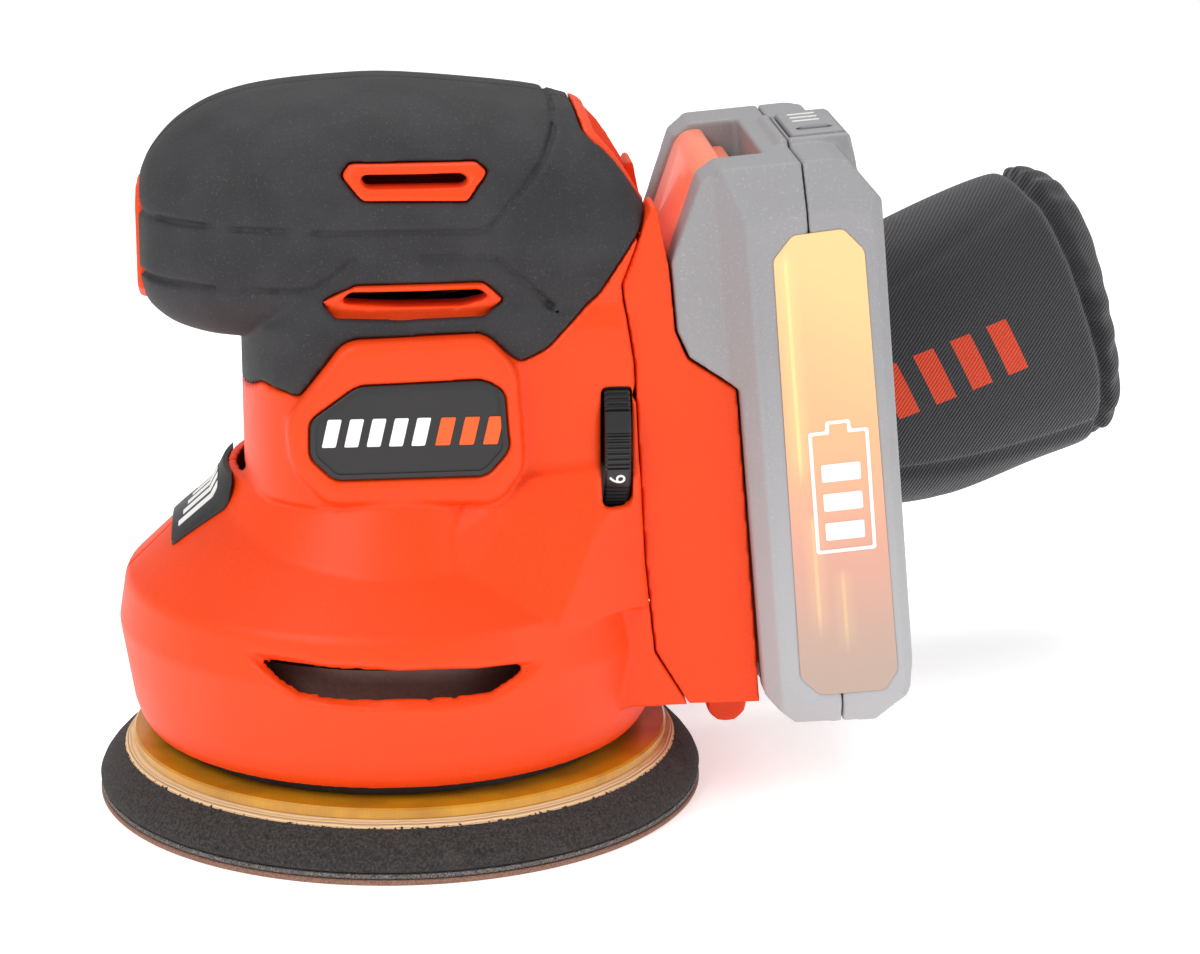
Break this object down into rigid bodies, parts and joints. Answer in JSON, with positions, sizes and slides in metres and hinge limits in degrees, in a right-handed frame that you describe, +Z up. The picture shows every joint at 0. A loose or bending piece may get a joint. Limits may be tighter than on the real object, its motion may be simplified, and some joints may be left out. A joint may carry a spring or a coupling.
{
  "type": "orbital sander",
  "caption": "Cordless palm-grip random orbital sander with a round pad, a side dust bag and a battery that slides on behind.",
  "frame": {"origin": "centre of the sanding face, on the axis of the pad", "axes": "+Z up, away from the sanded surface; +X towards the battery at the rear; the speed dial is on the -Y side"},
  "size_m": [0.235, 0.1784, 0.1476],
  "materials": {
    "orange_plastic": "satin, finely textured",
    "soft_black": "matte over-moulded elastomer",
    "hard_black": "satin",
    "steel": "ground",
    "iron": "dull grey",
    "copper": "machined copper tone",
    "zinc": "plated, satin",
    "fan_grey": "matte brown-grey",
    "amber_plate": "glossy resin over a beige laminate edge",
    "foam": "fibrous matte foam",
    "velour": "looped hook layer",
    "abrasive": "red-brown grit on paper",
    "battery_grey": "satin grey",
    "peach": "satin",
    "label_orange": "printed film, orange fading to peach",
    "cell_wrap": "shrink film",
    "board": "lacquered laminate",
    "twill": "ribbed charcoal twill"
  },
  "bodies": {
    "housing": {"shell_left": "orange_plastic", "shell_right": "orange_plastic", "shell_screw_1": "steel", "shell_screw_2": "steel", "shell_screw_3": "steel", "grip_cover_left": "soft_black", "grip_cover_right": "soft_black", "badge_left": "soft_black", "badge_right": "soft_black", "front_label": "soft_black", "switch_body": "hard_black", "speed_potentiometer": "hard_black", "control_board": "board", "motor_can": "zinc", "motor_end_cap": "hard_black", "motor_mount": "hard_black", "lower_bearing": "steel", "upper_bearing": "steel", "magnet_left": "iron", "magnet_right": "iron", "brush_left": "iron", "brush_right": "iron", "brake_ring": "soft_black", "battery_holder": "orange_plastic", "terminal_block": "hard_black", "dust_port": "hard_black"},
    "rotor": {"motor_shaft": "steel", "armature": "copper", "commutator": "copper", "fan": "fan_grey", "counterweight": "zinc", "pad_bearing": "steel"},
    "pad": {"pad_spindle": "steel", "backing_plate": "amber_plate", "foam_pad": "foam", "hook_layer": "velour", "sanding_disc": "abrasive", "pad_screw_1": "steel", "pad_screw_2": "steel", "pad_screw_3": "steel", "pad_screw_4": "steel"},
    "dial": {"dial_wheel": "hard_black"},
    "switch": {"switch_rocker": "hard_black"},
    "battery": {"battery_case_front": "battery_grey", "battery_case_rear": "battery_grey", "battery_label_left": "label_orange", "battery_label_right": "label_orange", "battery_cell_1": "cell_wrap", "battery_cell_2": "cell_wrap", "battery_cell_3": "cell_wrap", "battery_cell_4": "cell_wrap", "battery_cell_5": "cell_wrap", "gauge_panel": "battery_grey", "latch_spring": "steel"},
    "release_button": {"release_button": "peach"},
    "gauge_button": {"gauge_button": "hard_black"},
    "bag": {"bag_adapter": "hard_black", "dust_bag": "twill"}
  },
  "joints": [
    {"name": "motor_spin", "type": "hinge", "parent": "housing", "child": "rotor", "pos_m": [-0.00125, 0, 0.04], "axis": [0, 0, 1], "continuous": true},
    {"name": "pad_spin", "type": "hinge", "parent": "rotor", "child": "pad", "pos_m": [0, 0, 0.0225], "axis": [0, 0, 1], "continuous": true},
    {"name": "dial_turn", "type": "hinge", "parent": "housing", "child": "dial", "pos_m": [0.04245, -0.0186, 0.0792], "axis": [1, 0, 0], "range_deg": [-230, 20]},
    {"name": "switch_rock", "type": "hinge", "parent": "housing", "child": "switch", "pos_m": [-0.047, 0, 0.1165], "axis": [0, 1, 0], "range_deg": [-16, 0]},
    {"name": "battery_slide", "type": "slide", "parent": "housing", "child": "battery", "axis": [-0.0872, 0, 0.9962], "range_m": [0, 0.09]},
    {"name": "release_press", "type": "slide", "parent": "battery", "child": "release_button", "axis": [0.9962, 0, 0.0872], "range_m": [0, 0.003], "stiffness_N_per_m": 600, "springref_m": -0.001},
    {"name": "gauge_press", "type": "slide", "parent": "battery", "child": "gauge_button", "axis": [0.0872, 0, -0.9962], "range_m": [0, 0.0005], "stiffness_N_per_m": 300, "springref_m": -0.0005},
    {"name": "bag_pull", "type": "slide", "parent": "housing", "child": "bag", "axis": [0.9055, 0.3296, 0.2672], "range_m": [0, 0.04]}
  ]
}
